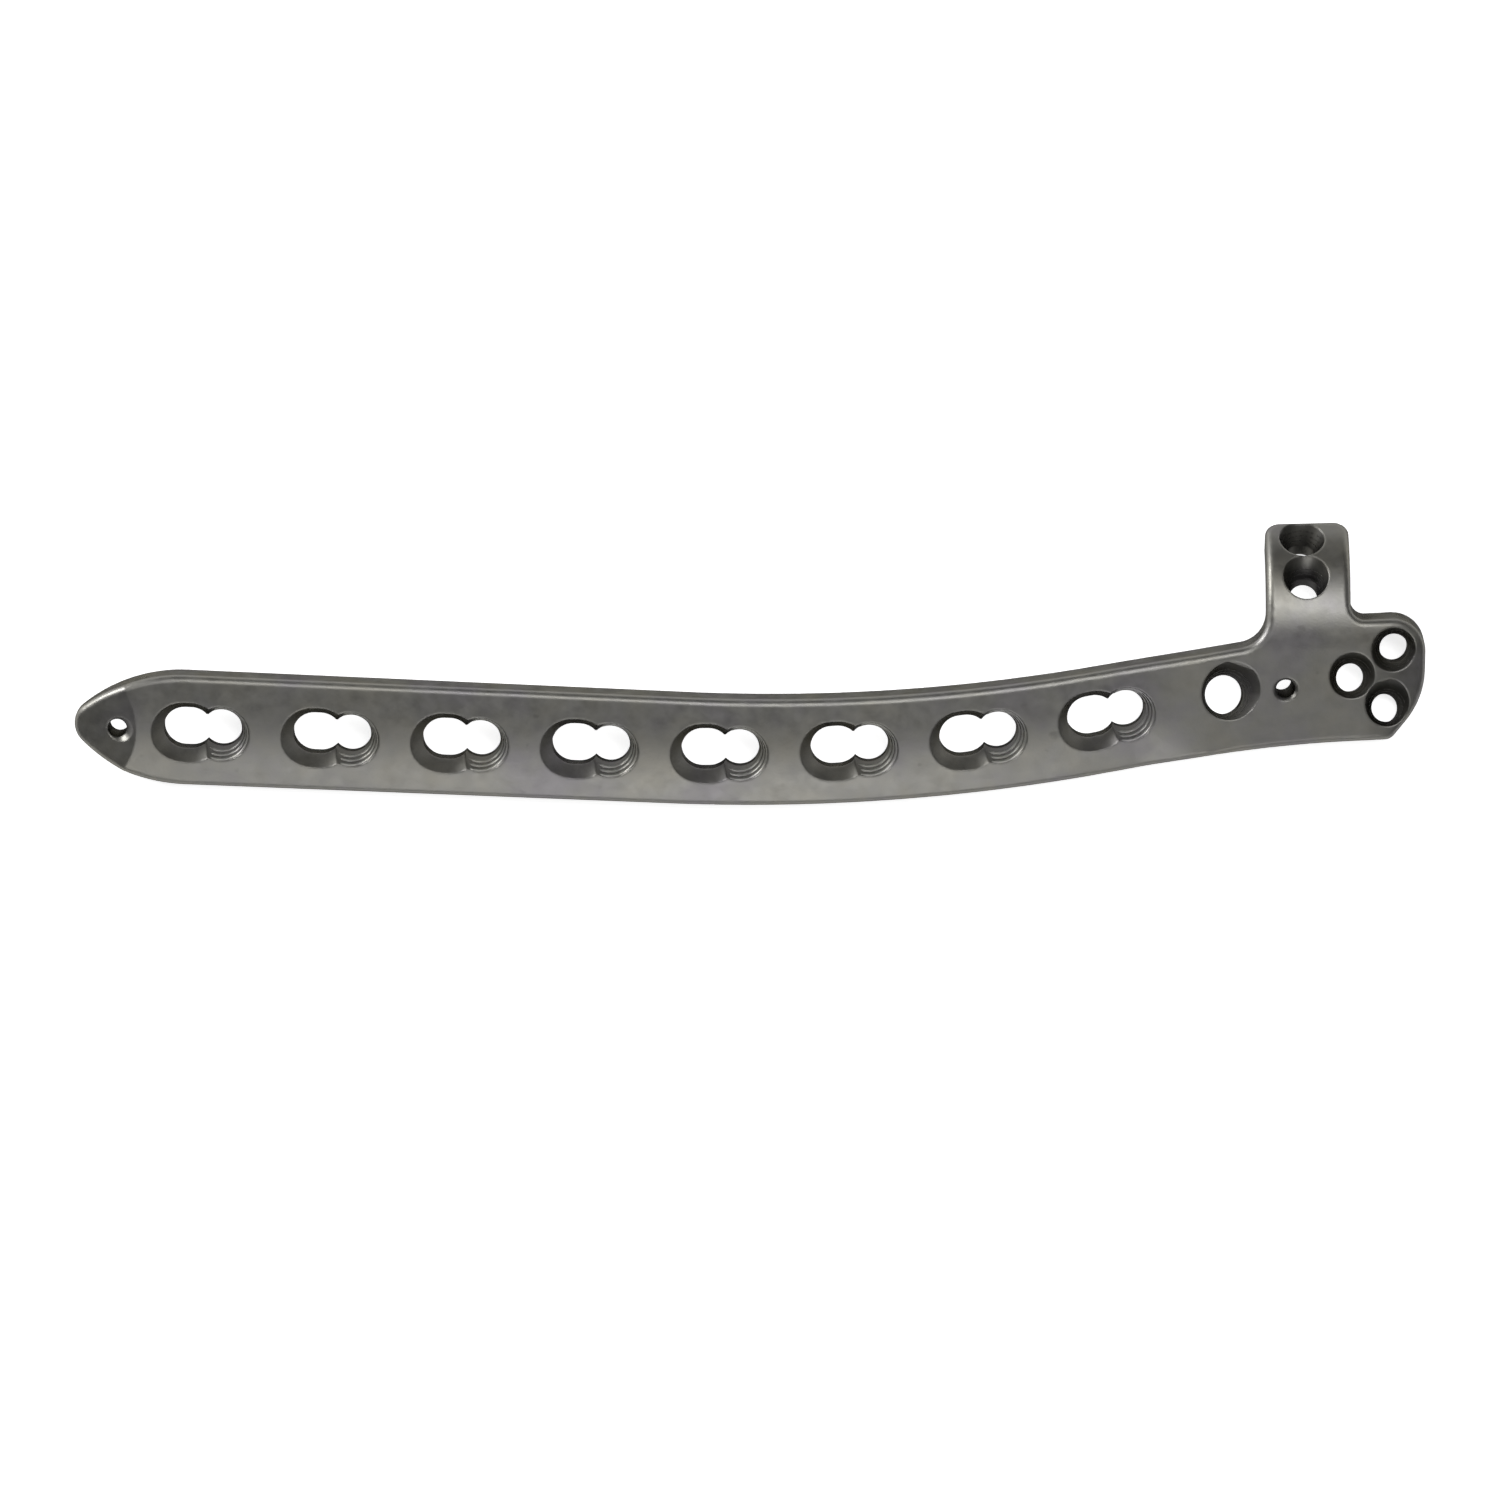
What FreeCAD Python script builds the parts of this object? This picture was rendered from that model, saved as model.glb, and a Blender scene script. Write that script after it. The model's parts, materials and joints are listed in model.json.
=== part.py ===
import FreeCAD, Part
import math
import os

import Sketcher
from FreeCAD import Vector

# Orthopedic bone plate
#
# One milled and bent titanium plate for the lower end of an upper arm bone: a long shaft with eight
# combination screw holes, a pointed tip at one end, and at the other a head with a three-hole lobe
# and a side arm that bends down round the bone.
#
# The plate is drawn in its own working frame: the outer face looks up along +Z, the shaft runs along
# X from the tip towards the head, and the origin is the centre of the fourth hole. Half a hole pitch
# past it the shaft begins to bow, towards +Y and a little down. The last step lays the finished plate
# on the ground as it comes to rest.

doc = FreeCAD.newDocument("bone_plate")

# Driving sizes, in millimetres and degrees

SIZES = {
    # holes along the shaft
    "hole_pitch": 13,
    "straight_holes": 4,
    "bowed_holes": 4,
    # strip
    "plate_thickness": 3.2,
    "tip_width": 11.5,
    "shaft_width": 11.05,
    "crown_radius": 28,
    "hollow_radius": 50,
    "blank_margin": 2,
    "cutter_lift": 1,
    # tip
    "tip_reach": 12.9,
    "nose_radius": 2.4,
    "nose_angle": 41.4,
    "ogive_radius": 15.7,
    "tip_slope": 14,
    "tip_slope_reach": 6.4,
    # bow of the shaft
    "bow_radius": 195,
    "bow_length": 47.5,
    "bow_tilt": 21.5,
    # neck
    "neck_length": 8,
    "neck_turn": 10.5,
    # head
    "head_drop_gap": 1.2,
    "head_drop_radius": 25,
    "head_drop_angle": 12.5,
    "lobe_end": 21.9,
    "lobe_top": 8.25,
    "lobe_corner_radius": 3.6,
    "lobe_side": -0.2,
    "lobe_side_radius": 8,
    "lobe_foot": 18.5,
    "lobe_foot_radius": 1.2,
    "lower_edge": -4.3,
    "lower_edge_place": 6.85,
    "lower_edge_radius": 125,
    # arm
    "arm_place": 10.1,
    "arm_width": 8.4,
    "arm_bend_start": 5.6,
    "arm_bend_radius": 11.5,
    "arm_bend_angle": 63,
    "arm_straight": 1.95,
    "arm_tip_radius": 1.5,
    "arm_root": 6.1,
    "arm_root_radius": 3,
    "arm_lobe_radius": 1.5,
    # combination holes
    "slot_place": -1.45,
    "slot_run": 0.6,
    "slot_mouth": 6.5,
    "slot_throat": 4.3,
    "slot_depth": 1.9,
    "thread_place": 1.95,
    "thread_mouth": 5.8,
    "thread_throat": 3.9,
    "thread_depth": 2.4,
    # round locking hole
    "neck_hole_x": 2.25,
    "neck_hole_y": 1.15,
    "neck_hole_roll": -17.4,
    "neck_hole_pitch": 6.5,
    # small locking holes
    "small_mouth": 4.6,
    "small_throat": 2.85,
    "small_depth": 1.9,
    "hole_a_x": 18.9,
    "hole_a_y": 5.2,
    "hole_a_roll": -8,
    "hole_a_pitch": -11.5,
    "hole_b_x": 14.6,
    "hole_b_y": 2.5,
    "hole_b_roll": -15.1,
    "hole_b_pitch": -1.7,
    "hole_c_x": 18.3,
    "hole_c_y": -0.6,
    "hole_c_roll": -20.6,
    "hole_c_pitch": -5.7,
    "near_hole_place": 36,
    "near_hole_lean": -18,
    "far_hole_place": 59.4,
    "far_hole_lean": -8,
    # wire holes
    "wire_hole": 1.9,
    "wire_mouth": 2.5,
    "wire_chamfer": 0.3,
    "tip_wire_reach": 4.45,
    "head_wire_x": 7.9,
    "head_wire_y": 1.5,
    # edges
    "outer_edge_radius": 0.7,
    "inner_edge_radius": 0.5,
    # how the plate lies
    "rest_yaw": -2.4,
    "rest_pitch": -0.7,
    "rest_roll": 17.9,
}

sheet = doc.addObject("Spreadsheet::Sheet", "sizes")
for row, (alias, number) in enumerate(SIZES.items(), start=1):
    sheet.set(f"A{row}", alias)
    sheet.set(f"B{row}", str(number))
    sheet.setAlias(f"B{row}", alias)
doc.recompute()


class Size:
    """A length or angle from the sheet: its number and the expression that gives it."""

    def __init__(self, number, text):
        self.number = number
        self.text = text

    def __add__(self, other):
        return join(self, "+", other, lambda a, b: a + b)

    def __sub__(self, other):
        return join(self, "-", other, lambda a, b: a - b)

    def __rsub__(self, other):
        return join(other, "-", self, lambda a, b: a - b)

    def __mul__(self, other):
        return join(self, "*", other, lambda a, b: a * b)

    def __truediv__(self, other):
        return join(self, "/", other, lambda a, b: a / b)

    def __neg__(self):
        return Size(-self.number, f"(0 - {self.text})")

    def __rtruediv__(self, other):
        return join(other, "/", self, lambda a, b: a / b)

    __radd__ = __add__
    __rmul__ = __mul__


def as_size(value):
    return value if isinstance(value, Size) else Size(value, str(value))


def join(left, sign, right, work):
    """One sum, difference, product or ratio, as a number and as an expression."""
    left, right = as_size(left), as_size(right)
    return Size(work(left.number, right.number), f"({left.text} {sign} {right.text})")


def size(alias):
    """A driving size, read from the sheet."""
    return Size(float(getattr(sheet, alias)), f"sizes.{alias}")


def sine(angle):
    return Size(math.sin(math.radians(angle.number)), f"sin({angle.text})")


def cosine(angle):
    return Size(math.cos(math.radians(angle.number)), f"cos({angle.text})")


def tangent(angle):
    return Size(math.tan(math.radians(angle.number)), f"tan({angle.text})")


def arc_sine(ratio):
    return Size(math.degrees(math.asin(ratio.number)), f"(asin({ratio.text}) / 1 deg)")


def arc_tangent(ratio):
    return Size(math.degrees(math.atan(ratio.number)), f"(atan({ratio.text}) / 1 deg)")


# Frames: text that places a sketch, each one a step from the one before it

def move(x, y, z):
    x, y, z = as_size(x), as_size(y), as_size(z)
    return f"placement(vector({x.text}; {y.text}; {z.text}); rotation(0; 0; 0))"


def turn(axis, angle):
    x, y, z = (as_size(part) for part in axis)
    return (f"placement(vector(0; 0; 0); "
            f"rotation(vector({x.text}; {y.text}; {z.text}); {as_size(angle).text}))")


def chain(*steps):
    return " * ".join(steps)


ACROSS = turn((1, 1, 1), 120)

bow_start = size("hole_pitch") / 2
bow_tilt = size("bow_tilt")
bow_radius = size("bow_radius")
bow_side = bow_radius * cosine(bow_tilt)
bow_fall = bow_radius * sine(bow_tilt)
bow_angle = size("bow_length") / bow_radius * (180 / math.pi)


def on_bow(angle):
    """The frame after the shaft has bowed by an angle: sideways, and a little down."""
    return chain(
        move(bow_start, bow_side, -bow_fall),
        turn((0, sine(bow_tilt), cosine(bow_tilt)), angle),
        move(0, -bow_side, bow_fall),
    )


bow_end = on_bow(bow_angle)


def on_neck(share):
    """The frame part of the way along the neck, which bends back towards the shaft's line."""
    length = size("neck_length") * share
    angle = size("neck_turn") * share
    aside = length * angle * (math.pi / 360)
    return chain(bow_end, move(length, -aside, 0), turn((0, 0, 1), -angle))


head_frame = on_neck(1)
head_flat = size("arm_place") + size("arm_width") / 2 + size("head_drop_gap")


def on_lobe(angle):
    """The frame where the head has bent down by an angle past the arm."""
    drop = size("head_drop_radius")
    return chain(
        head_frame,
        move(head_flat, 0, -drop),
        turn((0, 1, 0), angle),
        move(0, 0, drop),
    )


# Sketch helpers

plate = doc.addObject("PartDesign::Body", "bone_plate")


def base_plane(role):
    return next(item for item in plate.Origin.OriginFeatures if item.Role == role)


def new_sketch(name, frame):
    sketch = plate.newObject("Sketcher::SketchObject", name)
    sketch.AttachmentSupport = [(base_plane("XY_Plane"), "")]
    sketch.MapMode = "FlatFace"
    sketch.setExpression("AttachmentOffset", frame)
    return sketch


ORIGIN = (-1, 1)
START, END, CENTRE = 1, 2, 3


def bind(sketch, kind, *places, value, name):
    """Adds a dimension whose value stays tied to the sheet."""
    index = sketch.addConstraint(Sketcher.Constraint(kind, *places, value.number))
    sketch.renameConstraint(index, name)
    sketch.setExpression(f"Constraints.{name}", value.text)


def pin(sketch, place, x, y, name):
    """Holds a point at x, y of the sketch."""
    x, y = as_size(x), as_size(y)
    bind(sketch, "DistanceX", *ORIGIN, *place, value=x, name=f"{name}_x")
    bind(sketch, "DistanceY", *ORIGIN, *place, value=y, name=f"{name}_y")


def arc_about(centre, radius, first, last):
    """An arc that runs anticlockwise from the point first to the point last."""
    circle = Part.Circle(centre, Vector(0, 0, 1), radius)
    return Part.ArcOfCircle(circle, circle.parameter(first), circle.parameter(last))


def rounded_outline(sketch, corners):
    """A closed anticlockwise outline: straight lines between named corners, each corner rounded.

    A corner with no radius stays sharp.
    """
    count = len(corners)
    points = [Vector(x.number, y.number, 0) for _, x, y, _ in corners]
    trimmed = []
    for index, (_, _, _, radius) in enumerate(corners):
        before = (points[index - 1] - points[index]).normalize()
        after = (points[(index + 1) % count] - points[index]).normalize()
        reach = 0 if radius is None else radius.number / math.tan(before.getAngle(after) / 2)
        trimmed.append((points[index] + before * reach, points[index] + after * reach))
    lines = []
    for index in range(count):
        start, end = trimmed[index][1], trimmed[(index + 1) % count][0]
        lines.append(sketch.addGeometry(Part.LineSegment(start, end), False))
    for index, (name, x, y, radius) in enumerate(corners):
        incoming, outgoing = lines[index - 1], lines[index]
        if radius is None:
            sketch.addConstraint(Sketcher.Constraint("Coincident", incoming, END, outgoing, START))
            pin(sketch, (outgoing, START), x, y, name)
            continue
        start, end = trimmed[index]
        inward = (start + end) * 0.5 - points[index]
        centre = points[index] + inward.normalize() * math.hypot(
            radius.number, (start - points[index]).Length)
        left_turn = (start - centre).cross(end - centre).z > 0
        if left_turn:
            arc = sketch.addGeometry(arc_about(centre, radius.number, start, end), False)
            first, last = START, END
        else:
            arc = sketch.addGeometry(arc_about(centre, radius.number, end, start), False)
            first, last = END, START
        corner = sketch.addGeometry(Part.Point(points[index]), True)
        sketch.addConstraint(Sketcher.Constraint("Tangent", incoming, END, arc, first))
        sketch.addConstraint(Sketcher.Constraint("Tangent", arc, last, outgoing, START))
        sketch.addConstraint(Sketcher.Constraint("PointOnObject", corner, START, incoming))
        sketch.addConstraint(Sketcher.Constraint("PointOnObject", corner, START, outgoing))
        bind(sketch, "Radius", arc, value=radius, name=f"{name}_radius")
        pin(sketch, (corner, START), x, y, name)


def finish_feature(feature):
    """Checks at once that the feature could be built, and makes it the body's last one."""
    doc.recompute()
    failed = {"Invalid", "Error"} & set(feature.State)
    if failed or feature.Shape.isNull():
        raise RuntimeError(f"{feature.Name} failed: {feature.State}")
    plate.Tip = feature
    return feature


def grow(name, profile, length, reverse=False):
    """A straight pad of a section."""
    pad = plate.newObject("PartDesign::Pad", name)
    pad.Profile = profile
    pad.setExpression("Length", length.text)
    pad.Reversed = reverse
    return finish_feature(pad)


def swing(name, profile, angle, reverse=False):
    """A section swung about the construction line of its own sketch."""
    bend = plate.newObject("PartDesign::Revolution", name)
    bend.Profile = profile
    bend.ReferenceAxis = (profile, ["Axis0"])
    bend.setExpression("Angle", angle.text)
    bend.Reversed = reverse
    return finish_feature(bend)


# Sections of the blank

half_blank = size("tip_width") / 2 + size("blank_margin")
thickness = size("plate_thickness")


def strip_section(name, frame, crown_share):
    """A strip's cross section, crowned outside and hollow inside.

    The share says how much of the shaft's crown and hollow is left: none makes a flat strip.
    """
    sketch = new_sketch(name, chain(frame, ACROSS))
    crown = size("crown_radius") / max(crown_share, 1e-9)
    hollow = size("hollow_radius") / max(crown_share, 1e-9)
    reach = half_blank.number
    outer_low = -(crown.number - math.sqrt(crown.number ** 2 - reach ** 2)) if crown_share else 0
    inner_top = -thickness.number
    sag = hollow.number - math.sqrt(hollow.number ** 2 - reach ** 2) if crown_share else 0
    inner_low = inner_top - sag
    if crown_share:
        top = sketch.addGeometry(Part.Arc(
            Vector(reach, outer_low, 0), Vector(0, 0, 0), Vector(-reach, outer_low, 0)), False)
        bottom = sketch.addGeometry(Part.Arc(
            Vector(reach, inner_low, 0), Vector(0, inner_top, 0), Vector(-reach, inner_low, 0)), False)
    else:
        top = sketch.addGeometry(Part.LineSegment(
            Vector(reach, 0, 0), Vector(-reach, 0, 0)), False)
        bottom = sketch.addGeometry(Part.LineSegment(
            Vector(reach, inner_top, 0), Vector(-reach, inner_top, 0)), False)
    right = sketch.addGeometry(Part.LineSegment(
        Vector(reach, outer_low, 0), Vector(reach, inner_low, 0)), False)
    left = sketch.addGeometry(Part.LineSegment(
        Vector(-reach, outer_low, 0), Vector(-reach, inner_low, 0)), False)
    for edge, end in ((top, START), (bottom, END)):
        sketch.addConstraint(Sketcher.Constraint("Coincident", edge, START, right, end))
        sketch.addConstraint(Sketcher.Constraint("Coincident", edge, END, left, end))
    if crown_share:
        sketch.addConstraint(Sketcher.Constraint("Vertical", right))
        sketch.addConstraint(Sketcher.Constraint("Vertical", left))
        bind(sketch, "DistanceX", *ORIGIN, right, START, value=half_blank, name="right_reach")
        bind(sketch, "DistanceX", left, START, *ORIGIN, value=half_blank, name="left_reach")
        pin(sketch, (top, CENTRE), 0, -crown, "crown")
        pin(sketch, (bottom, CENTRE), 0, -(thickness + hollow), "hollow")
        bind(sketch, "Radius", top, value=crown, name="crown_radius")
        bind(sketch, "Radius", bottom, value=hollow, name="hollow_radius")
    else:
        pin(sketch, (right, START), half_blank, 0, "right_top")
        pin(sketch, (right, END), half_blank, -thickness, "right_foot")
        pin(sketch, (left, START), -half_blank, 0, "left_top")
        pin(sketch, (left, END), -half_blank, -thickness, "left_foot")
    return sketch


def add_axis(sketch, start, end):
    """A construction line through two held points."""
    points = [Vector(as_size(x).number, as_size(y).number, 0) for x, y in (start, end)]
    axis = sketch.addGeometry(Part.LineSegment(*points), True)
    pin(sketch, (axis, START), *start, "axis_start")
    pin(sketch, (axis, END), *end, "axis_end")


def head_section(name, frame):
    """The head's cross section: flat, then bent down into the arm."""
    sketch = new_sketch(name, chain(frame, ACROSS))
    start = size("arm_bend_start")
    radius = size("arm_bend_radius")
    angle = size("arm_bend_angle")
    straight = size("arm_straight")
    inner = radius - thickness
    outer_end = (start + radius * sine(angle), radius * cosine(angle) - radius)
    tip = (outer_end[0] + straight * cosine(angle), outer_end[1] - straight * sine(angle))

    def at(x, y):
        return Vector(as_size(x).number, as_size(y).number, 0)

    def arc(reach):
        low = at(start + reach * sine(angle), reach * cosine(angle) - radius)
        flat = at(start, reach - radius)
        return arc_about(at(start, -radius), reach.number, low, flat)

    def line(first, second):
        return Part.LineSegment(at(*first), at(*second))

    inner_tip = (tip[0] - thickness * sine(angle), tip[1] - thickness * cosine(angle))
    inner_end = (start + inner * sine(angle), inner * cosine(angle) - radius)
    top = sketch.addGeometry(line((-half_blank, 0), (start, 0)), False)
    outer_bend = sketch.addGeometry(arc(radius), False)
    outer_face = sketch.addGeometry(line(outer_end, tip), False)
    end_face = sketch.addGeometry(line(tip, inner_tip), False)
    inner_face = sketch.addGeometry(line(inner_tip, inner_end), False)
    inner_bend = sketch.addGeometry(arc(inner), False)
    bottom = sketch.addGeometry(line((start, -thickness), (-half_blank, -thickness)), False)
    side = sketch.addGeometry(line((-half_blank, -thickness), (-half_blank, 0)), False)

    rule = Sketcher.Constraint
    sketch.addConstraint([
        rule("Horizontal", top),
        rule("Horizontal", bottom),
        rule("Vertical", side),
        rule("Coincident", side, END, top, START),
        rule("Coincident", side, START, bottom, END),
        rule("Tangent", top, END, outer_bend, END),
        rule("Tangent", outer_bend, START, outer_face, START),
        rule("Coincident", outer_face, END, end_face, START),
        rule("Coincident", end_face, END, inner_face, START),
        rule("Tangent", inner_face, END, inner_bend, START),
        rule("Tangent", inner_bend, END, bottom, START),
        rule("Coincident", inner_bend, CENTRE, outer_bend, CENTRE),
        rule("Perpendicular", outer_face, end_face),
    ])
    pin(sketch, (top, START), -half_blank, 0, "corner")
    pin(sketch, (outer_bend, CENTRE), start, -radius, "bend")
    pin(sketch, (outer_face, END), *tip, "tip")
    bind(sketch, "Radius", inner_bend, value=inner, name="inner_radius")
    bind(sketch, "Distance", end_face, value=thickness, name="end_thickness")
    return sketch


# The blank: shaft, bow, neck and head

shaft_reach = size("hole_pitch") * (size("straight_holes") - 1) + size("tip_reach")

shaft_section = strip_section("shaft_section", move(bow_start, 0, 0), 1)
add_axis(shaft_section, (bow_side, -bow_fall), (bow_side + sine(bow_tilt), cosine(bow_tilt) - bow_fall))
grow("straight_shaft", shaft_section, bow_start + shaft_reach + size("blank_margin"), reverse=True)


def loft(name, sections):
    """A smooth solid through a row of sections."""
    solid = plate.newObject("PartDesign::AdditiveLoft", name)
    solid.Profile = sections[0]
    solid.Sections = sections[1:]
    return finish_feature(solid)


BOW_STEPS = 8
loft("bowed_shaft", [strip_section(f"bow_section_{step}", on_bow(bow_angle * (step / BOW_STEPS)), 1)
                     for step in range(BOW_STEPS + 1)])

NECK_STEPS = 4
neck_sections = []
for step in range(NECK_STEPS + 1):
    share = step / NECK_STEPS
    crown_share = (1 + math.cos(math.pi * share)) / 2
    if step == NECK_STEPS:
        crown_share = 0
    neck_sections.append(strip_section(f"neck_section_{step}", on_neck(share), crown_share))
loft("neck", neck_sections)

arm_section = head_section("arm_section", chain(head_frame, move(head_flat, 0, 0)))
drop = size("head_drop_radius")
add_axis(arm_section, (0, -drop), (1, -drop))
grow("head_and_arm", arm_section, head_flat, reverse=True)
swing("head_drop", arm_section, size("head_drop_angle"))
lobe_section = head_section("lobe_section", on_lobe(size("head_drop_angle")))
grow("lobe", lobe_section, size("lobe_end") - head_flat + size("blank_margin"))

# The outline, cut straight down through the blank

half_tip = size("tip_width") / 2
half_shaft = size("shaft_width") / 2
apex = -shaft_reach
nose_angle = size("nose_angle")
nose_corner = apex - size("nose_radius") * (1 / sine(nose_angle) - 1)
ogive_corner = nose_corner + half_tip / tangent(nose_angle)

bow_turn = arc_tangent(tangent(bow_angle) * cosine(bow_tilt))
bow_plan_radius = bow_radius / cosine(bow_tilt)
half_turn = bow_turn / 2
bow_middle = bow_plan_radius * tangent(half_turn)
bow_shift = half_shaft * tangent(half_turn)

neck_aside = size("neck_length") * size("neck_turn") * (math.pi / 360)
neck_fore = size("neck_length")
head_turn = bow_turn - size("neck_turn")
head_x = (bow_start + bow_radius * sine(bow_angle) + neck_fore * cosine(bow_angle)
          + neck_aside * sine(bow_angle) * cosine(bow_tilt))
head_y = ((bow_radius - bow_radius * cosine(bow_angle) + neck_fore * sine(bow_angle)
          - neck_aside * cosine(bow_angle)) * cosine(bow_tilt))


def in_head(name, along, aside, radius):
    """A corner of the outline given in the head's own frame."""
    x = head_x + along * cosine(head_turn) - aside * sine(head_turn)
    y = head_y + along * sine(head_turn) + aside * cosine(head_turn)
    return (name, x, y, radius)


arm_left = size("arm_place") - size("arm_width") / 2
arm_right = size("arm_place") + size("arm_width") / 2
arm_reach = (size("arm_bend_start") + size("arm_bend_radius") + size("arm_straight")
             + size("blank_margin"))
corners = [
    ("nose", nose_corner, as_size(0), size("nose_radius")),
    ("ogive_low", ogive_corner, -half_tip, size("ogive_radius")),
    ("bow_low", bow_start + bow_middle + bow_shift, -half_shaft, bow_plan_radius + half_shaft),
    in_head("neck_low", size("lower_edge_place"), size("lower_edge"), size("lower_edge_radius")),
    in_head("foot", size("lobe_foot"), size("lower_edge"), size("lobe_foot_radius")),
    in_head("side", size("lobe_end"), size("lobe_side"), size("lobe_side_radius")),
    in_head("shoulder", size("lobe_end"), size("lobe_top"), size("lobe_corner_radius")),
    in_head("armpit", arm_right, size("lobe_top"), size("arm_lobe_radius")),
    in_head("arm_far_right", arm_right, arm_reach, None),
    in_head("arm_far_left", arm_left, arm_reach, None),
    in_head("arm_root", arm_left, size("arm_root"), size("arm_root_radius")),
    ("bow_high", bow_start + bow_middle - bow_shift, half_shaft, bow_plan_radius - half_shaft),
    ("ogive_high", ogive_corner, half_tip, size("ogive_radius")),
]
outline = new_sketch("outline", move(0, 0, 0))
rounded_outline(outline, corners)
frame_margin = size("tip_width")
frame_left = apex - frame_margin
frame_right = head_x + size("lobe_end") + frame_margin
frame_top = head_y + arm_reach + frame_margin
frame_low = -(half_tip + frame_margin)
rounded_outline(outline, [
    ("frame_a", frame_left, frame_low, None),
    ("frame_b", frame_right, frame_low, None),
    ("frame_c", frame_right, frame_top, None),
    ("frame_d", frame_left, frame_top, None),
])


def cut_through(name, profile):
    """Cuts a sketch's area away, both ways, right through the plate."""
    pocket = plate.newObject("PartDesign::Pocket", name)
    pocket.Profile = profile
    pocket.Type = "ThroughAll"
    pocket.SideType = "Symmetric"
    return finish_feature(pocket)


cut_through("outline_cut", outline)

# The tip slopes down to a thin nose, so that it slides under muscle

UPRIGHT = turn((1, 0, 0), 90)
lift = size("cutter_lift")
tip_slope = tangent(size("tip_slope"))
slope_high = apex + size("tip_slope_reach") + lift / tip_slope
slope_end = apex - size("blank_margin")
slope_sketch = new_sketch("tip_slope_sketch", UPRIGHT)
rounded_outline(slope_sketch, [
    ("high", slope_high, lift, None),
    ("far", slope_end, lift, None),
    ("low", slope_end, lift - (slope_high - slope_end) * tip_slope, None),
])


def pocket_both_ways(name, profile, depth):
    """Cuts a sketch's area away to half the depth on each side of its plane."""
    pocket = plate.newObject("PartDesign::Pocket", name)
    pocket.Profile = profile
    pocket.Type = "Length"
    pocket.SideType = "Symmetric"
    pocket.setExpression("Length", depth.text)
    return finish_feature(pocket)


pocket_both_ways("tip_slope_cut", slope_sketch, size("tip_width") * 2)

# Edges: the arm's two tip corners first, then the rim all round, outside and inside


def faces_of(edge):
    return plate.Shape.ancestorsOfType(edge, Part.Face)


def facing(face):
    """The face's outward direction at the middle of its area."""
    low_u, high_u, low_v, high_v = face.ParameterRange
    return face.normalAt((low_u + high_u) / 2, (low_v + high_v) / 2)


def round_edges(name, edges, radius):
    """Rounds edges of the finished shape so far."""
    names = [f"Edge{number}" for number, edge in enumerate(plate.Shape.Edges, start=1)
             if any(edge.isSame(wanted) for wanted in edges)]
    base = plate.Tip
    rounding = plate.newObject("PartDesign::Fillet", name)
    rounding.Base = (base, names)
    rounding.setExpression("Radius", radius.text)
    return finish_feature(rounding)


end_line = arm_section.Geometry[3]
end_middle = arm_section.Placement.multVec((end_line.StartPoint + end_line.EndPoint) * 0.5)
end_middle = end_middle - arm_section.Placement.Rotation.multVec(Vector(0, 0, size("arm_width").number / 2))


def arm_end_face():
    return min(plate.Shape.Faces, key=lambda face: face.distToShape(Part.Vertex(end_middle))[0])


corner_edges = [edge for edge in arm_end_face().Edges if edge.Length < size("arm_width").number / 2]
round_edges("arm_tip_corners", corner_edges, size("arm_tip_radius"))

end_face = arm_end_face()
end_faces = [end_face] + [face for edge in end_face.Edges for face in faces_of(edge)
                          if abs(edge.Length - thickness.number) < 0.3]


def is_wall(face):
    return abs(facing(face).z) < 0.02 or any(face.isSame(other) for other in end_faces)


def rim_edges(outer):
    """The edges where the cut walls meet the outer face, or the inner one."""
    found = []
    for edge in plate.Shape.Edges:
        pair = faces_of(edge)
        walls = [face for face in pair if is_wall(face)]
        skins = [face for face in pair if not is_wall(face)]
        if len(walls) == 1 and len(skins) == 1 and (facing(skins[0]).z > 0) == outer:
            found.append(edge)
    return found


round_edges("outer_rim", rim_edges(True), size("outer_edge_radius"))
end_faces = [arm_end_face()] + [face for edge in arm_end_face().Edges for face in faces_of(edge)]
round_edges("inner_rim", rim_edges(False), size("inner_edge_radius"))


# Screw and wire holes

def conical_hole(name, frame, mouth, throat, depth):
    """A hole turned about its own axis: a cone from the mouth down to a straight throat."""
    profile = new_sketch(f"{name}_profile", chain(frame, UPRIGHT))
    flare = (mouth - throat) / 2 / depth
    centre = as_size(0)
    rounded_outline(profile, [
        ("floor", centre, -thickness * 2, None),
        ("throat_low", throat / 2, -thickness * 2, None),
        ("throat_high", throat / 2, -depth, None),
        ("mouth", mouth / 2 + flare * lift, lift, None),
        ("top", centre, lift, None),
    ])
    groove = plate.newObject("PartDesign::Groove", name)
    groove.Profile = profile
    groove.ReferenceAxis = (profile, ["V_Axis"])
    groove.Angle = 360
    return finish_feature(groove)


def slot_sketch(name, frame, width):
    """A round-ended slot along the shaft."""
    sketch = new_sketch(name, frame)
    near = size("slot_place") + size("slot_run") / 2
    far = size("slot_place") - size("slot_run") / 2
    radius = width / 2

    def at(x, y):
        return Vector(x.number, y * radius.number, 0)

    top = sketch.addGeometry(Part.LineSegment(at(near, 1), at(far, 1)), False)
    far_end = sketch.addGeometry(arc_about(at(far, 0), radius.number, at(far, 1), at(far, -1)), False)
    bottom = sketch.addGeometry(Part.LineSegment(at(far, -1), at(near, -1)), False)
    near_end = sketch.addGeometry(arc_about(at(near, 0), radius.number, at(near, -1), at(near, 1)), False)
    loop = (top, far_end, bottom, near_end)
    for piece, following in zip(loop, loop[1:] + loop[:1]):
        sketch.addConstraint(Sketcher.Constraint("Tangent", piece, END, following, START))
    pin(sketch, (far_end, CENTRE), far, 0, "far")
    pin(sketch, (near_end, CENTRE), near, 0, "near")
    bind(sketch, "Radius", near_end, value=radius, name="radius")
    return sketch


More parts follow.
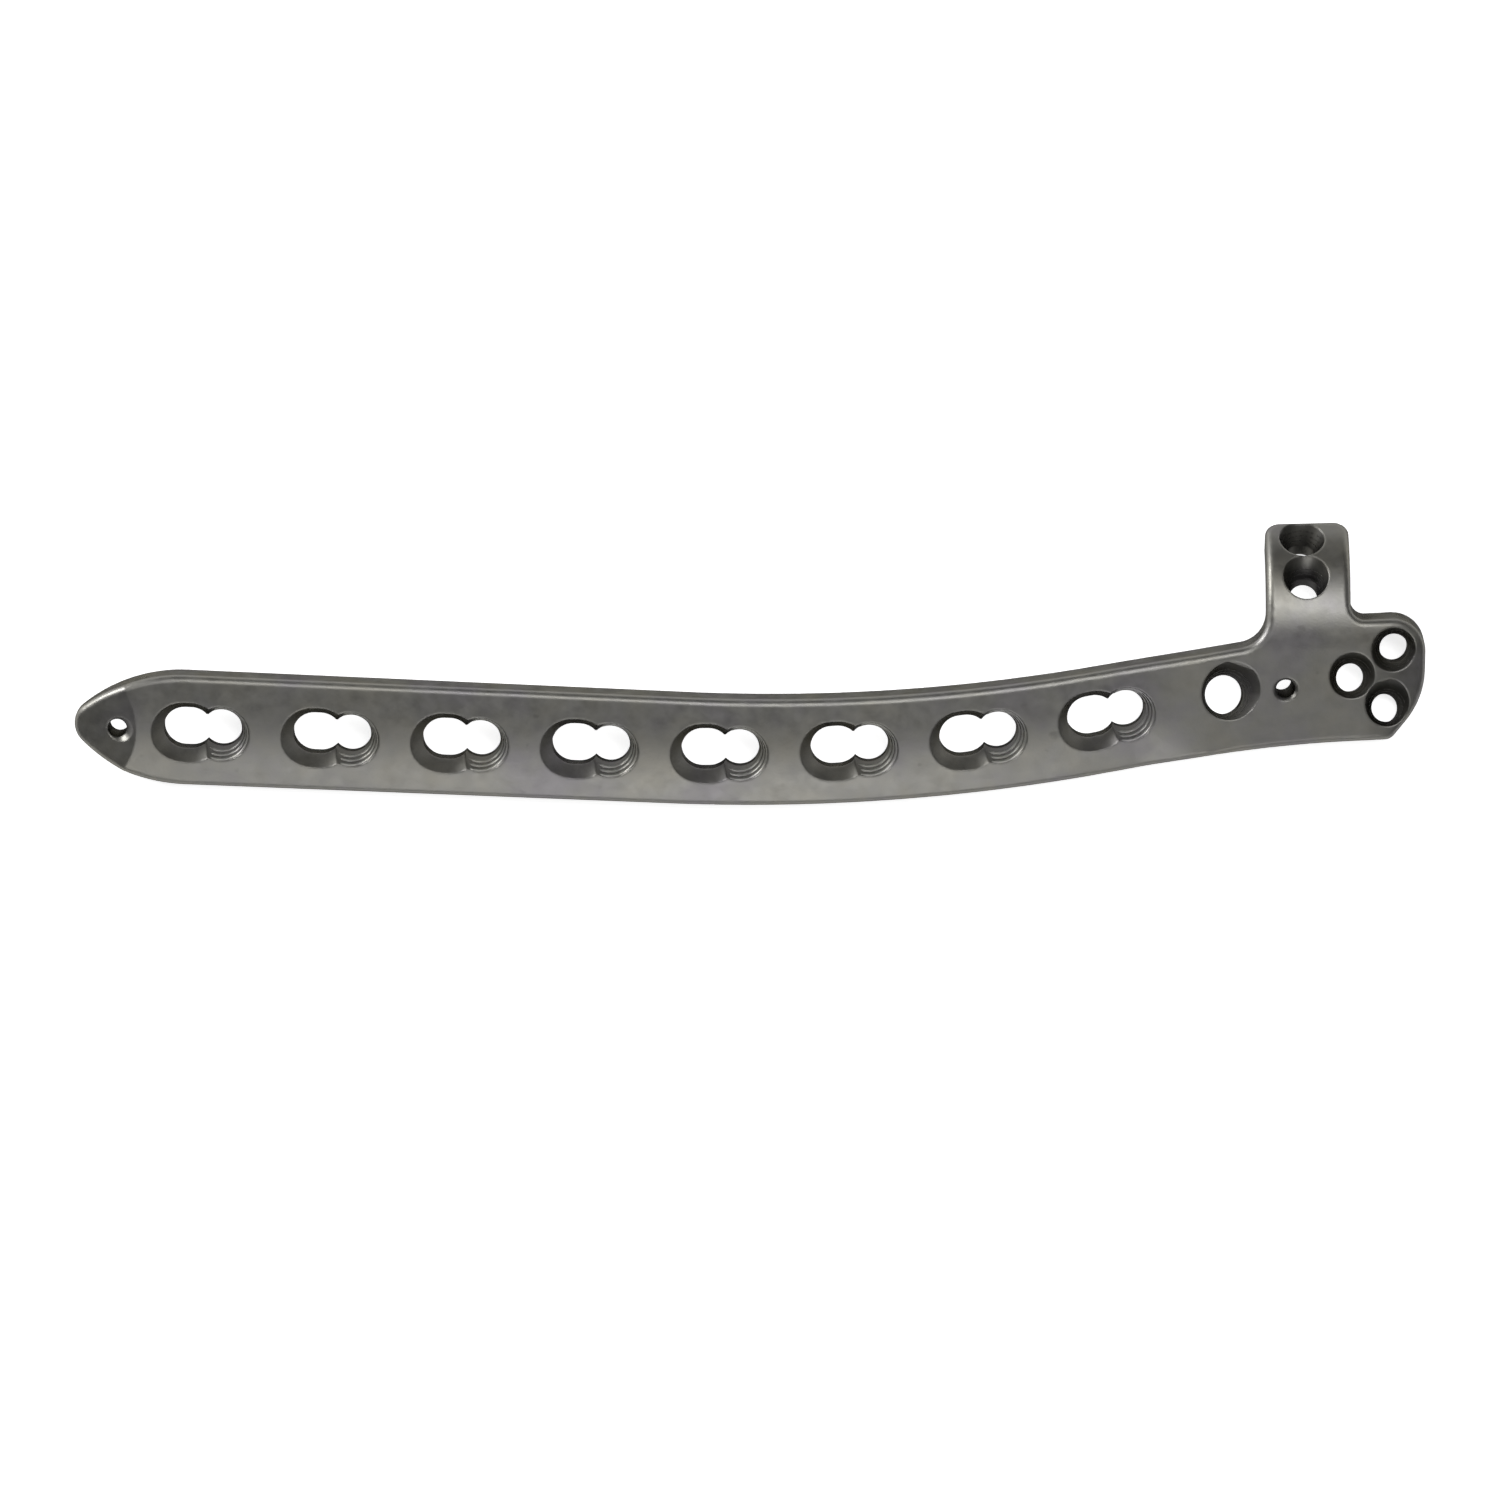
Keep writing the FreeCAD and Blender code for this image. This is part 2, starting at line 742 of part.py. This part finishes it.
def combination_hole(name, frame):
    """A sloping slot towards the tip for a plain screw, run into a conical hole for a locking screw."""
    flare = (size("slot_mouth") - size("slot_throat")) / 2 / size("slot_depth")
    mouth = slot_sketch(f"{name}_mouth", chain(frame, move(0, 0, lift)),
                        size("slot_mouth") + flare * lift * 2)
    seat = plate.newObject("PartDesign::Pocket", f"{name}_seat")
    seat.Profile = mouth
    seat.setExpression("Length", (size("slot_depth") + lift).text)
    seat.setExpression("TaperAngle", (-arc_tangent(flare)).text)
    finish_feature(seat)
    throat = slot_sketch(f"{name}_throat", frame, size("slot_throat"))
    through = pocket_both_ways(f"{name}_through", throat, thickness * 3)
    locking = conical_hole(f"{name}_locking_half", chain(frame, move(size("thread_place"), 0, 0)),
                           size("thread_mouth"), size("thread_throat"), size("thread_depth"))
    return [seat, through, locking]


straight_seed = combination_hole("straight_hole", move(0, 0, 0))
straight_row = plate.newObject("PartDesign::LinearPattern", "straight_row")
straight_row.Originals = straight_seed
straight_row.Direction = (shaft_section, ["N_Axis"])
straight_row.Reversed = True
straight_row.setExpression("Length", (size("hole_pitch") * (size("straight_holes") - 1)).text)
straight_row.setExpression("Occurrences", "sizes.straight_holes")
finish_feature(straight_row)

pitch_angle = size("hole_pitch") / bow_radius * (180 / math.pi)
bowed_seed = combination_hole("bowed_hole", on_bow(pitch_angle / 2))
bowed_row = plate.newObject("PartDesign::PolarPattern", "bowed_row")
bowed_row.Originals = bowed_seed
bowed_row.Axis = (shaft_section, ["Axis0"])
bowed_row.setExpression("Angle", (pitch_angle * (size("bowed_holes") - 1)).text)
bowed_row.setExpression("Occurrences", "sizes.bowed_holes")
finish_feature(bowed_row)


def tilted(frame, roll, pitch):
    """A hole's frame, leaning sideways and along the shaft."""
    return chain(frame, turn((1, 0, 0), roll), turn((0, 1, 0), pitch))


def lean(hole):
    return size(f"{hole}_roll"), size(f"{hole}_pitch")


conical_hole("neck_hole",
             tilted(chain(head_frame, move(size("neck_hole_x"), size("neck_hole_y"), 0)),
                    *lean("neck_hole")),
             size("thread_mouth"), size("thread_throat"), size("thread_depth"))

small = (size("small_mouth"), size("small_throat"), size("small_depth"))
conical_hole("lobe_hole_b",
             tilted(chain(head_frame, move(size("hole_b_x"), size("hole_b_y"), 0)), *lean("hole_b")),
             *small)
for letter in "ac":
    past_flat = (size(f"hole_{letter}_x") - head_flat) / size("head_drop_radius")
    frame = chain(on_lobe(arc_sine(past_flat)), move(0, size(f"hole_{letter}_y"), 0))
    conical_hole(f"lobe_hole_{letter}", tilted(frame, *lean(f"hole_{letter}")), *small)

for place in ("near", "far"):
    frame = chain(
        head_frame,
        move(size("arm_place"), size("arm_bend_start"), -size("arm_bend_radius")),
        turn((1, 0, 0), -size(f"{place}_hole_place")),
        move(0, 0, size("arm_bend_radius")),
    )
    conical_hole(f"arm_hole_{place}", tilted(frame, size(f"{place}_hole_lean"), 0), *small)

wire = (size("wire_mouth"), size("wire_hole"), size("wire_chamfer"))
tip_wire_x = apex + size("tip_wire_reach")
tip_wire_fall = (slope_high - tip_wire_x) * tip_slope - lift
conical_hole("tip_wire_hole", move(tip_wire_x, 0, -tip_wire_fall), *wire)
conical_hole("head_wire_hole", chain(head_frame, move(size("head_wire_x"), size("head_wire_y"), 0)), *wire)

# The finished plate as it lies: on its tip, the foot of its head and the end of its arm

plate.Label = "bone_plate"
doc.recompute()
for item in doc.Objects:
    if {"Invalid", "Error"} & set(item.State):
        raise RuntimeError(f"{item.Name} failed: {item.getStatusString()}")
if plate.Shape.isNull() or not plate.Shape.isValid() or len(plate.Shape.Solids) != 1:
    raise RuntimeError("the plate is not one valid solid")

plate.setExpression("Placement", chain(
    turn((0, 0, 1), size("rest_yaw")),
    turn((0, 1, 0), size("rest_pitch")),
    turn((1, 0, 0), size("rest_roll")),
))
doc.recompute()
box = plate.Shape.optimalBoundingBox(True, False)
turned = plate.Placement
plate.setExpression("Placement", None)
turned.Base = turned.Base - Vector(box.Center.x, box.Center.y, box.ZMin)
plate.Placement = turned
doc.recompute()

box = plate.Shape.optimalBoundingBox(True, False)
print(f"bone_plate: {box.XLength:.2f} x {box.YLength:.2f} x {box.ZLength:.2f} mm,"
      f" {plate.Shape.Volume:.1f} mm3, {len(plate.Shape.Faces)} faces")
os.makedirs("parts", exist_ok=True)
plate.Shape.exportStep(f"parts/{plate.Label}.step")
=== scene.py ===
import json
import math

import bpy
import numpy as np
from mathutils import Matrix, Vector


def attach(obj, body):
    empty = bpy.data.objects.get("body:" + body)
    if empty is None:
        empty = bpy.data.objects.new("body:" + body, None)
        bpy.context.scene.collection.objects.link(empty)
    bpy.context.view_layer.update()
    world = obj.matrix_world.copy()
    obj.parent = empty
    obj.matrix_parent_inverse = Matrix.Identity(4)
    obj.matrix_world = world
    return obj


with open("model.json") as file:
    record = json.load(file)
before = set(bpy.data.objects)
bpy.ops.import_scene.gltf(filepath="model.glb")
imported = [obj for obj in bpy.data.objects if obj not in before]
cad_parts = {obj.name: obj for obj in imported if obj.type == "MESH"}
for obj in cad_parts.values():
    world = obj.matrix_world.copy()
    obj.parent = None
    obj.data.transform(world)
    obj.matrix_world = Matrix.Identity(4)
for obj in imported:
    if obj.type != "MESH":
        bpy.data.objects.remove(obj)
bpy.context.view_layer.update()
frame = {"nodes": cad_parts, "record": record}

# %% [markdown]
# # A titanium bone plate
#
# The plate is one milled and bent strip of titanium. Its solid comes from the CAD model and
# already has the bow, the head, the bent arm, the rounded edges and every screw hole. What is
# left for Blender is the surface: the satin look of blasted, anodised titanium, and the thread
# ridges inside the holes, which are too fine for the solid.
#
# All lengths below are metres. `mm` keeps the numbers readable.

mm = 0.001
FULL_TURN = 2 * math.pi
plate = frame["nodes"]["bone_plate"]
mounts = {mount["name"]: mount for mount in frame["record"]["mounts"]}


# %% [markdown]
# ## The camera
#
# The plate lies on a table and the camera looks straight down on it, with the tip on the left.
# The frame is square and shows 150 mm at the height of the plate's outer face. A long lens far
# away keeps the walls of the outer holes almost as upright as those in the middle.

# %% The camera
VIEW_WIDTH = 150 * mm
CAMERA_RISE = 700 * mm
LOOK_AT = Vector((0.04 * mm, -8.66 * mm, 5.4 * mm))
SENSOR_WIDTH = 36  # Blender gives the sensor and the lens in millimetres.
VIEW_DEPTH = 10

camera_data = bpy.data.cameras.new("camera")
camera_data.sensor_width = SENSOR_WIDTH
camera_data.lens = SENSOR_WIDTH * CAMERA_RISE / VIEW_WIDTH
camera_data.clip_end = VIEW_DEPTH
camera = bpy.data.objects.new("camera", camera_data)
camera.location = LOOK_AT + Vector((0, 0, CAMERA_RISE))
bpy.context.scene.collection.objects.link(camera)
bpy.context.scene.camera = camera
bpy.context.scene.view_settings.view_transform = "Standard"
print("lens, mm:", round(camera_data.lens, 1))

# %% [markdown]
# ## Colours and nodes
#
# Colours are picked as sRGB hex values, as a colour picker shows them, but Blender's shaders
# work with linear light. One function turns one into the other. A second one adds a shader
# node, sets its inputs and links it, so that each material below reads as a short list.

# %% Colours and nodes
def colour(hex_value):
    """The linear RGBA of an sRGB hex colour, channel by channel.

    Up to 0.04045 a channel is divided by 12.92. Above that, 0.055 is added, the sum is divided by
    1.055 and raised to the power 2.4.
    """
    channels = np.array([int(hex_value[i:i + 2], 16) for i in (1, 3, 5)]) / 255
    linear = np.where(channels <= 0.04045, channels / 12.92, ((channels + 0.055) / 1.055) ** 2.4)
    return (*linear.tolist(), 1.0)


def add(tree, kind, settings=None, **inputs):
    """A node of a kind: settings are its own properties, inputs are values or sockets to link.

    An input is named like its socket, with _ for a space, or _0, _1 where names repeat.
    """
    node = tree.nodes.new(kind)
    for name, value in (settings or {}).items():
        setattr(node, name, value)
    for name, value in inputs.items():
        key = int(name[1:]) if name[0] == "_" else name.replace("_", " ")
        if isinstance(value, bpy.types.NodeSocket):
            tree.links.new(value, node.inputs[key])
        else:
            node.inputs[key].default_value = value
    return node


def calculate(tree, operation, one, other):
    """The result of a math node that joins two values."""
    node = add(tree, "ShaderNodeMath", {"operation": operation}, _0=one, _1=other)
    return node.outputs["Value"]


def new_material(name):
    """A node material with an empty tree, and that tree."""
    material = bpy.data.materials.new(name)
    material.use_nodes = True
    material.node_tree.nodes.clear()
    return material, material.node_tree


# %% [markdown]
# ## Blasted and anodised titanium
#
# The plate is milled from titanium alloy, blasted with fine beads and then anodised, which
# leaves a satin, dark grey skin. It is a metal, so it has no diffuse colour: its base colour is
# the colour of its reflections. Blasting makes those broad, so the roughness is fairly high.
# Seen at a low angle a metal turns towards white, and the rims would shine with the white table.
# On the real plate they stay grey, so the specular tint holds the skin at a mid grey there.
#
# One even grey would still look false, so the skin has:
#
# - soft clouds some millimetres wide, a little warmer or more violet
# - finer streaks, a little lighter or darker, rougher where they are light
# - a few small dark stains
# - painted shade down in the holes: an ambient occlusion node darkens the colour where walls close
#   in. It also sees the table, so the lowest edges get a little painted shade too.
# - a fine grain from the beads. Real bead marks are about 0.05 mm, finer than a pixel here, so
#   the grain is drawn five times coarser.
# - edges that catch the light as if they were broken by 0.3 mm, which is shading only

# %% Blasted and anodised titanium
CLOUD_SIZE = 7 * mm
CLOUD_STOPS = (0.32, 0.5, 0.68)
STREAK_SIZE = 1.6 * mm
STREAK_RANGE = (0.3, 0.7)
STREAK_TONES = (0.93, 1.05)
STREAK_GLOSS = (-0.04, 0.05)
STAIN_SIZE = 2.2 * mm
STAIN_RANGE = (0.70, 0.78)
STAIN_TONES = (1.0, 0.78)
PAINTED_SHADE_REACH = 5 * mm
PAINTED_SHADE_RANGE = (0.55, 0.96)
GRAIN_SIZE = 0.25 * mm
GRAIN_DEPTH = 0.02 * mm
GRAIN_STRENGTH = 0.25
BROKEN_EDGE = 0.3 * mm
LOW_ANGLE_TINT = "#5A5A58"


def noise(tree, place, size, detail, roughness):
    """A noise value from 0 to 1, with blotches of about this size."""
    node = add(tree, "ShaderNodeTexNoise", Vector=place, Scale=1 / size, Detail=detail,
               Roughness=roughness)
    return node.outputs["Fac"]


def stretch(tree, value, span, tones):
    """The value with the span it runs over stretched to two tones, and held beyond them."""
    node = add(tree, "ShaderNodeMapRange", Value=value, From_Min=span[0], From_Max=span[1],
               To_Min=tones[0], To_Max=tones[1])
    return node.outputs["Result"]


def titanium(name, base, warm, violet, roughness, painted_recess_shade):
    """Metal whose colour drifts between a violet, a base and a warm grey.

    The colour is multiplied by the tone of the streaks, by the tone of the stains, and by a painted
    shade of the recesses. That painted shade is 1 in the open and falls to painted_recess_shade
    where walls, or the table, close in within PAINTED_SHADE_REACH. The streaks also shift the
    roughness.
    """
    material, tree = new_material(name)
    place = add(tree, "ShaderNodeTexCoord").outputs["Object"]

    clouds = noise(tree, place, CLOUD_SIZE, detail=3.0, roughness=0.6)
    tint = add(tree, "ShaderNodeValToRGB", _0=clouds)
    stops = tint.color_ramp.elements
    stops.new(CLOUD_STOPS[1])
    for stop, position, hex_value in zip(stops, CLOUD_STOPS, (violet, base, warm)):
        stop.position = position
        stop.color = colour(hex_value)

    streaks = noise(tree, place, STREAK_SIZE, detail=4.0, roughness=0.65)
    streak = stretch(tree, streaks, STREAK_RANGE, STREAK_TONES)
    stains = noise(tree, place, STAIN_SIZE, detail=2.0, roughness=0.5)
    stain = stretch(tree, stains, STAIN_RANGE, STAIN_TONES)
    # Painted shade: ambient occlusion darkens the colour in the holes and near the table.
    openness = add(tree, "ShaderNodeAmbientOcclusion", {"samples": 8}, Distance=PAINTED_SHADE_REACH)
    painted_shade = stretch(tree, openness.outputs["AO"], PAINTED_SHADE_RANGE, (painted_recess_shade, 1.0))
    marks = calculate(tree, "MULTIPLY", streak, stain)
    marks_and_painted_shade = calculate(tree, "MULTIPLY", marks, painted_shade)
    skin = add(tree, "ShaderNodeVectorMath", {"operation": "SCALE"},
               Vector=tint.outputs["Color"], Scale=marks_and_painted_shade)

    grain = noise(tree, place, GRAIN_SIZE, detail=2.0, roughness=0.5)
    broken_edge = add(tree, "ShaderNodeBevel", {"samples": 6}, Radius=BROKEN_EDGE)
    bump = add(tree, "ShaderNodeBump", Height=grain, Strength=GRAIN_STRENGTH,
               Distance=GRAIN_DEPTH, Normal=broken_edge.outputs["Normal"])
    gloss = stretch(tree, streaks, STREAK_RANGE, [roughness + shift for shift in STREAK_GLOSS])

    surface = add(tree, "ShaderNodeBsdfPrincipled", Base_Color=skin.outputs["Vector"],
                  Metallic=1.0, Specular_Tint=colour(LOW_ANGLE_TINT), Roughness=gloss,
                  Normal=bump.outputs["Normal"])
    add(tree, "ShaderNodeOutputMaterial", Surface=surface.outputs["BSDF"])
    return material


# The recess argument sets how dark the painted shade in the holes gets.
plate_skin = titanium("blasted_anodised_titanium", base="#807F7B", warm="#84827B",
                      violet="#7D7B7C", roughness=0.42, painted_recess_shade=0.44)
plate.data.materials.clear()
plate.data.materials.append(plate_skin)
print("skin:", plate_skin.name, "with", len(plate_skin.node_tree.nodes), "nodes")

# %% [markdown]
# ## Thread ridges in the locking holes
#
# A locking screw has a threaded conical head that cuts into a matching thread in the plate. Seen
# from above it is a few light ridges round the cone. Cutting it into the solid would cost
# thousands of faces, so each ridge here is a thin rib that winds down the cone.
#
# The rib's section is a low triangle with its crest nearer the upper corner. So the short flank
# above the crest faces up and catches the light, and the long flank below it stands nearly
# upright and stays darker.
#
# In the long combination holes only the side away from the tip is threaded. There each turn is a
# rib of its own that falls half as fast, broken off at both ends where the smooth slot begins.

# %% One ridge as a surface
STEP_ANGLE = 0.12
FEWEST_STEPS = 12
SECTION_HEIGHTS = (0.5, 0.25, -0.5)
SECTION_INWARD = (-0.06, 0.18, -0.06)
FADE_ANGLE = 0.25
END_HEIGHT = 0.3
END_SINK = 0.02 * mm


def ridge(foot, axis, start_side, cone, pitch, rib, turn_from, turn_to, depth_from):
    """A rib of triangular section wound down a cone: its points, its walls and its steps.

    At an angle a past its start, the rib is deeper than depth_from by pitch times a over a full
    turn. There the cone's radius is its throat radius plus the flare times the height above the
    throat.

    The section's corners are given in shares of the rib: half above its middle, a quarter above
    and half below. The first and the last lie 0.06 inside the wall and the middle one, the crest,
    stands 0.18 out of it. Over FADE_ANGLE at either end the rib fades: its height shrinks to
    END_HEIGHT of itself, and all its corners sink to END_SINK inside the wall.
    """
    throat, mouth, depth = cone
    steps = max(FEWEST_STEPS, int((turn_to - turn_from) / STEP_ANGLE))
    angle = np.linspace(turn_from, turn_to, steps)
    down = depth_from + pitch * (angle - turn_from) / FULL_TURN
    height = np.array(SECTION_HEIGHTS) * rib
    inward = np.array(SECTION_INWARD) * rib
    to_end = np.minimum(angle - turn_from, turn_to - angle)
    fade = np.minimum(1, to_end / FADE_ANGLE)[:, None]
    level = (depth - down)[:, None] + height * (END_HEIGHT + (1 - END_HEIGHT) * fade)
    flare = (mouth - throat) / depth
    radius = throat + flare * level - inward * fade + END_SINK * (1 - fade)

    axis = axis / np.linalg.norm(axis)
    right = start_side - axis * np.dot(start_side, axis)
    right = right / np.linalg.norm(right)
    ahead = np.cross(axis, right)
    spin = angle[:, None, None]
    outward = np.cos(spin) * right + np.sin(spin) * ahead
    points = foot + outward * radius[:, :, None] + axis * level[:, :, None]

    here = np.arange((steps - 1) * 3).reshape(steps - 1, 3)
    beside = np.roll(here, -1, axis=1)
    walls = np.stack([here, beside, beside + 3, here + 3], axis=-1).reshape(-1, 4)
    return points.reshape(-1, 3), walls, steps


def ridged_mesh(name, ridges):
    """One mesh of several ribs, each closed with a triangle at either end."""
    verts, faces, offset = [], [], 0
    for points, walls, steps in ridges:
        verts.append(points)
        faces += (walls + offset).tolist()
        faces.append([offset + 2, offset + 1, offset])
        last = offset + (steps - 1) * 3
        faces.append([last, last + 1, last + 2])
        offset += len(points)
    mesh = bpy.data.meshes.new(name)
    mesh.from_pydata(np.concatenate(verts).tolist(), [], faces)
    mesh.update()
    return mesh


# %% [markdown]
# The record gives each hole's place and the direction its screw leaves. Round holes are stated
# by the straight wall below the cone, so the cone's foot is half a wall above that place. Shaft
# holes are stated by their mouth, so the foot is one cone depth below. The shaft's direction at
# a hole is the line from the hole before it to the hole after it.
#
# The round holes lean, so each rib starts deep enough to stay below the low side of the mouth.
# These ribs are thin and have the skin of the plate. In the shaft holes the ribs are coarser and
# have a lighter copy of that skin with less painted shade, which is painted light on the thread.

# %% Ridges for every locking hole
SHAFT_CONE = (1.95 * mm, 2.9 * mm, 2.4 * mm)  # Throat radius, mouth radius, depth.
SMALL_CONE = (1.425 * mm, 2.3 * mm, 1.9 * mm)
SHAFT_PITCH = 0.55 * mm
SMALL_PITCH = 0.45 * mm
BROKEN_PITCH = SHAFT_PITCH * 0.5
RIB = 0.6 * mm
NECK_RIB = 0.25 * mm
SMALL_RIB = 0.16 * mm
BROKEN_RIBS = ((0.42, 114), (1.05, 119), (1.68, 124))  # Depth in mm, reach each way in degrees.
ALONG_X = np.array([1.0, 0.0, 0.0])

shaft_names = [f"shaft_hole_{number}" for number in range(1, 9)]
shaft_places = np.array([mounts[name]["pos_m"] for name in shaft_names])
tangents = np.gradient(shaft_places, axis=0)


def spot(name):
    """A hole's place and axis as arrays."""
    return np.array(mounts[name]["pos_m"]), np.array(mounts[name]["axis"])


# A lighter copy of the plate's skin with less painted shade: painted light on the thread ridges.
painted_light_thread_skin = titanium("painted_light_thread_titanium", base="#A5A49F", warm="#A8A69E",
                       violet="#A2A0A1", roughness=0.40, painted_recess_shade=0.8)
pieces = []
for name, tangent in zip(shaft_names, tangents):
    place, axis = spot(name)
    foot = place - axis * SHAFT_CONE[2]
    ribs = []
    for depth, reach in BROKEN_RIBS:
        half = math.radians(reach)
        ribs.append(ridge(foot, axis, tangent, SHAFT_CONE, BROKEN_PITCH, RIB, -half, half,
                          depth * mm))
    pieces.append((f"thread_{name}", ribs, painted_light_thread_skin))

# Cone, pitch, rib and the depth where the rib starts.
round_holes = {
    "neck_hole": (SHAFT_CONE, SHAFT_PITCH, NECK_RIB, 0.95 * mm),
    "lobe_hole_a": (SMALL_CONE, SMALL_PITCH, SMALL_RIB, 0.65 * mm),
    "lobe_hole_b": (SMALL_CONE, SMALL_PITCH, SMALL_RIB, 0.7 * mm),
    "lobe_hole_c": (SMALL_CONE, SMALL_PITCH, SMALL_RIB, 0.95 * mm),
    "arm_hole_near": (SMALL_CONE, SMALL_PITCH, SMALL_RIB, 0.8 * mm),
    "arm_hole_far": (SMALL_CONE, SMALL_PITCH, SMALL_RIB, 0.5 * mm),
}
for name, (cone, pitch, rib, first) in round_holes.items():
    place, axis = spot(name)
    foot = place + axis * mounts[name]["dims"]["length_mm"] * mm / 2
    turns = (cone[2] - first - rib / 2) / pitch
    ribs = [ridge(foot, axis, ALONG_X, cone, pitch, rib, 0.0, turns * FULL_TURN, first)]
    pieces.append((f"thread_{name}", ribs, plate_skin))

for name, ribs, skin in pieces:
    mesh = ridged_mesh(name, ribs)
    mesh.materials.append(skin)
    piece = bpy.data.objects.new(name, mesh)
    bpy.context.scene.collection.objects.link(piece)
    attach(piece, "root")
print("threads:", len(pieces), "pieces")

# %% [markdown]
# ## Table and light
#
# The plate lies on a plain white table. White to the eye is not the same as strongly lit: the
# table adds a little light of its own for the camera and for mirror images only, so the plate is
# lit plainly and still throws its soft shadow.

# %% The table
TABLE_HALF = 1.5
TABLE_PAINT = "#E8E8E8"
TABLE_GLOW = 0.75

corners = [(x * TABLE_HALF, y * TABLE_HALF, 0) for x, y in ((-1, -1), (1, -1), (1, 1), (-1, 1))]
table_mesh = bpy.data.meshes.new("table")
table_mesh.from_pydata(corners, [], [(0, 1, 2, 3)])
table = bpy.data.objects.new("table", table_mesh)
bpy.context.scene.collection.objects.link(table)

table_paint, tree = new_material("white_table")
rays = add(tree, "ShaderNodeLightPath").outputs
seen = calculate(tree, "MAXIMUM", rays["Is Camera Ray"], rays["Is Glossy Ray"])
seen = calculate(tree, "MAXIMUM", seen, rays["Is Transmission Ray"])
glow = calculate(tree, "MULTIPLY", seen, TABLE_GLOW)
paint = add(tree, "ShaderNodeBsdfDiffuse", Color=colour(TABLE_PAINT))
light = add(tree, "ShaderNodeEmission", Strength=glow)
both = add(tree, "ShaderNodeAddShader", _0=paint.outputs["BSDF"], _1=light.outputs["Emission"])
add(tree, "ShaderNodeOutputMaterial", Surface=both.outputs["Shader"])
table_mesh.materials.append(table_paint)
print("table, mm across:", round(2 * TABLE_HALF / mm))

# %% [markdown]
# Three soft boxes light the plate. One stands in front, one hangs almost above, a little behind
# and to the right, and a small one stands low behind on the left.
#
# Between the boxes the room is dim, so most of the face stays dark grey. What leans towards the
# light of a box turns bright: the front half of the crowned shaft, the root of the arm and the
# rounded rims.

# %% The light
ROOM_LIGHT = (0.12, 0.12, 0.118, 1)


def soft_box(name, place, size, power):
    """A rectangular soft box that faces the plate, with its size in metres and power in watts."""
    data = bpy.data.lights.new(name, "AREA")
    data.shape = "RECTANGLE"
    data.size, data.size_y = size
    data.energy = power
    lamp = bpy.data.objects.new(name, data)
    lamp.location = place
    lamp.visible_camera = False
    lamp.rotation_euler = (-Vector(place)).to_track_quat("-Z", "Y").to_euler()
    bpy.context.scene.collection.objects.link(lamp)


soft_box("front_box", (0.0, -0.80, 0.62), (0.5, 0.45), 2.2)
soft_box("back_box", (0.14, 0.22, 0.88), (0.7, 0.25), 3.9)
soft_box("left_box", (-0.80, 0.50, 0.35), (0.4, 0.3), 8)

world = bpy.data.worlds.new("room")
bpy.context.scene.world = world
world.use_nodes = True
background = world.node_tree.nodes["Background"]
background.inputs["Color"].default_value = ROOM_LIGHT
background.inputs["Strength"].default_value = 1.0
print("lights:", [lamp.name for lamp in bpy.data.lights])
